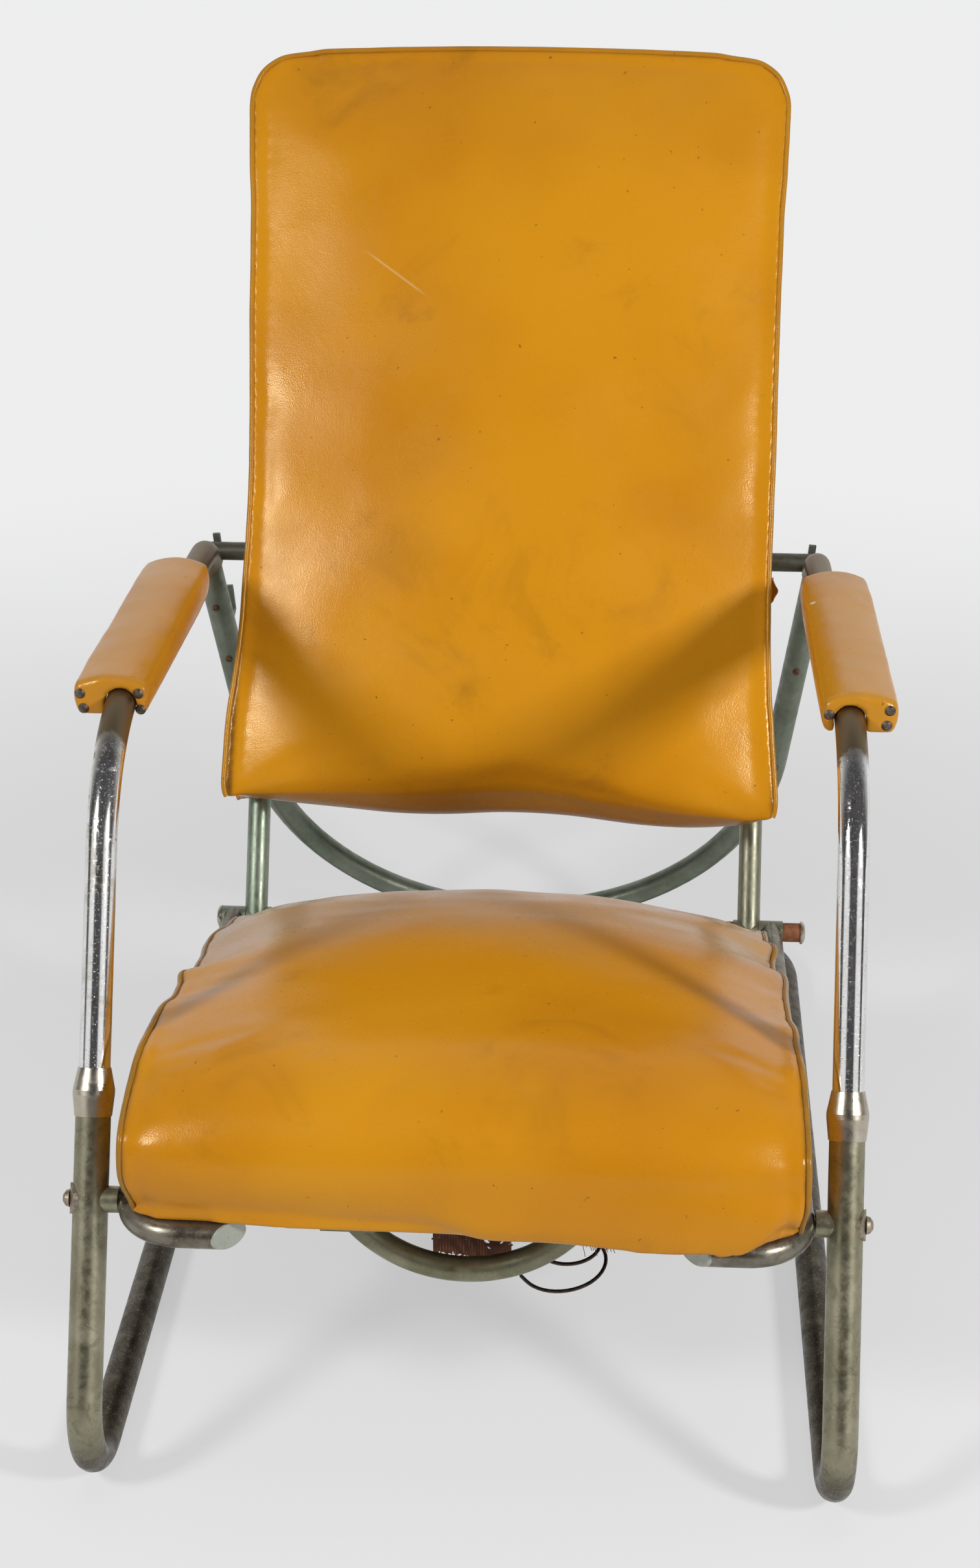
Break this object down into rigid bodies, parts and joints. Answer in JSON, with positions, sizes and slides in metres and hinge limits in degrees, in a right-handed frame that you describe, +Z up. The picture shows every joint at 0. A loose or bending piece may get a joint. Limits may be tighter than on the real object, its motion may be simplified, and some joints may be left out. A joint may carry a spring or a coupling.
{
  "type": "reclining tubular lounge armchair",
  "caption": "High-backed tubular steel lounge armchair with a padded seat and back, hooked strips for the recline and padded arms.",
  "frame": {"origin": "on the floor, under the middle of the whole chair's bounding box", "axes": "+X to the right for someone looking at the chair from the front, +Y from the front towards the rear, +Z up"},
  "size_m": [0.6842, 1.0208, 1.0007],
  "materials": {
    "chrome": "pitted bright chrome",
    "lower_tube_steel": "worn plating with an olive-grey bloom",
    "loop_steel": "dull plating with a green bloom",
    "dark_steel": "dark, rusting plating",
    "rusty_steel": "rust-brown",
    "strap_steel": "dull dark steel",
    "spring_wire": "dull dark wire",
    "amber_vinyl": "satin",
    "board_wood": "raw",
    "jute": "coarse, frayed"
  },
  "bodies": {
    "frame": {"base_tube": "lower_tube_steel", "arm_tube_left": "chrome", "arm_tube_right": "chrome", "ferrule_left": "chrome", "ferrule_right": "chrome", "rear_loop": "loop_steel", "notched_strip_left": "dark_steel", "notched_strip_right": "dark_steel", "leg_screws": "rusty_steel", "armrest_board_left": "board_wood", "armrest_board_right": "board_wood", "armrest_pad_left": "amber_vinyl", "armrest_pad_right": "amber_vinyl", "armrest_nails": "rusty_steel", "front_bolts": "rusty_steel", "saddle_washers": "rusty_steel", "spacer_tubes": "lower_tube_steel", "front_nuts": "rusty_steel"},
    "seat": {"seat_rail_left": "lower_tube_steel", "seat_rail_right": "lower_tube_steel", "rail_end_caps": "lower_tube_steel", "hinge_sleeve_left": "loop_steel", "hinge_sleeve_right": "loop_steel", "front_cross_strip": "rusty_steel", "front_bow": "loop_steel", "bow_rivets": "rusty_steel", "spring_strap_1": "strap_steel", "spring_strap_2": "strap_steel", "seat_springs_row_1": "spring_wire", "seat_springs_row_2": "spring_wire", "loose_spring": "spring_wire", "jute_layer": "jute", "seat_cushion": "amber_vinyl"},
    "rod": {"hinge_rod": "rusty_steel", "rod_caps": "chrome"},
    "back": {"back_post_frame": "loop_steel", "back_sleeve_left": "loop_steel", "back_sleeve_right": "loop_steel", "cross_bar": "dark_steel", "bar_end_plugs": "dark_steel", "back_bands": "rusty_steel", "band_rivets": "rusty_steel", "back_cushion": "amber_vinyl"}
  },
  "joints": [
    {"name": "seat_lift", "type": "hinge", "parent": "frame", "child": "seat", "pos_m": [0, -0.41432, 0.2385], "axis": [1, 0, 0], "range_deg": [0, 12]},
    {"name": "back_hinge", "type": "hinge", "parent": "seat", "child": "back", "pos_m": [0, 0.11668, 0.205], "axis": [1, 0, 0], "range_deg": [-12, 0]},
    {"name": "rod_slide", "type": "slide", "parent": "seat", "child": "rod", "axis": [1, 0, 0], "range_m": [-0.0172, 0]}
  ],
  "couplings": [
    {"joint": "back_hinge", "follows": "seat_lift", "ratio": -1}
  ]
}
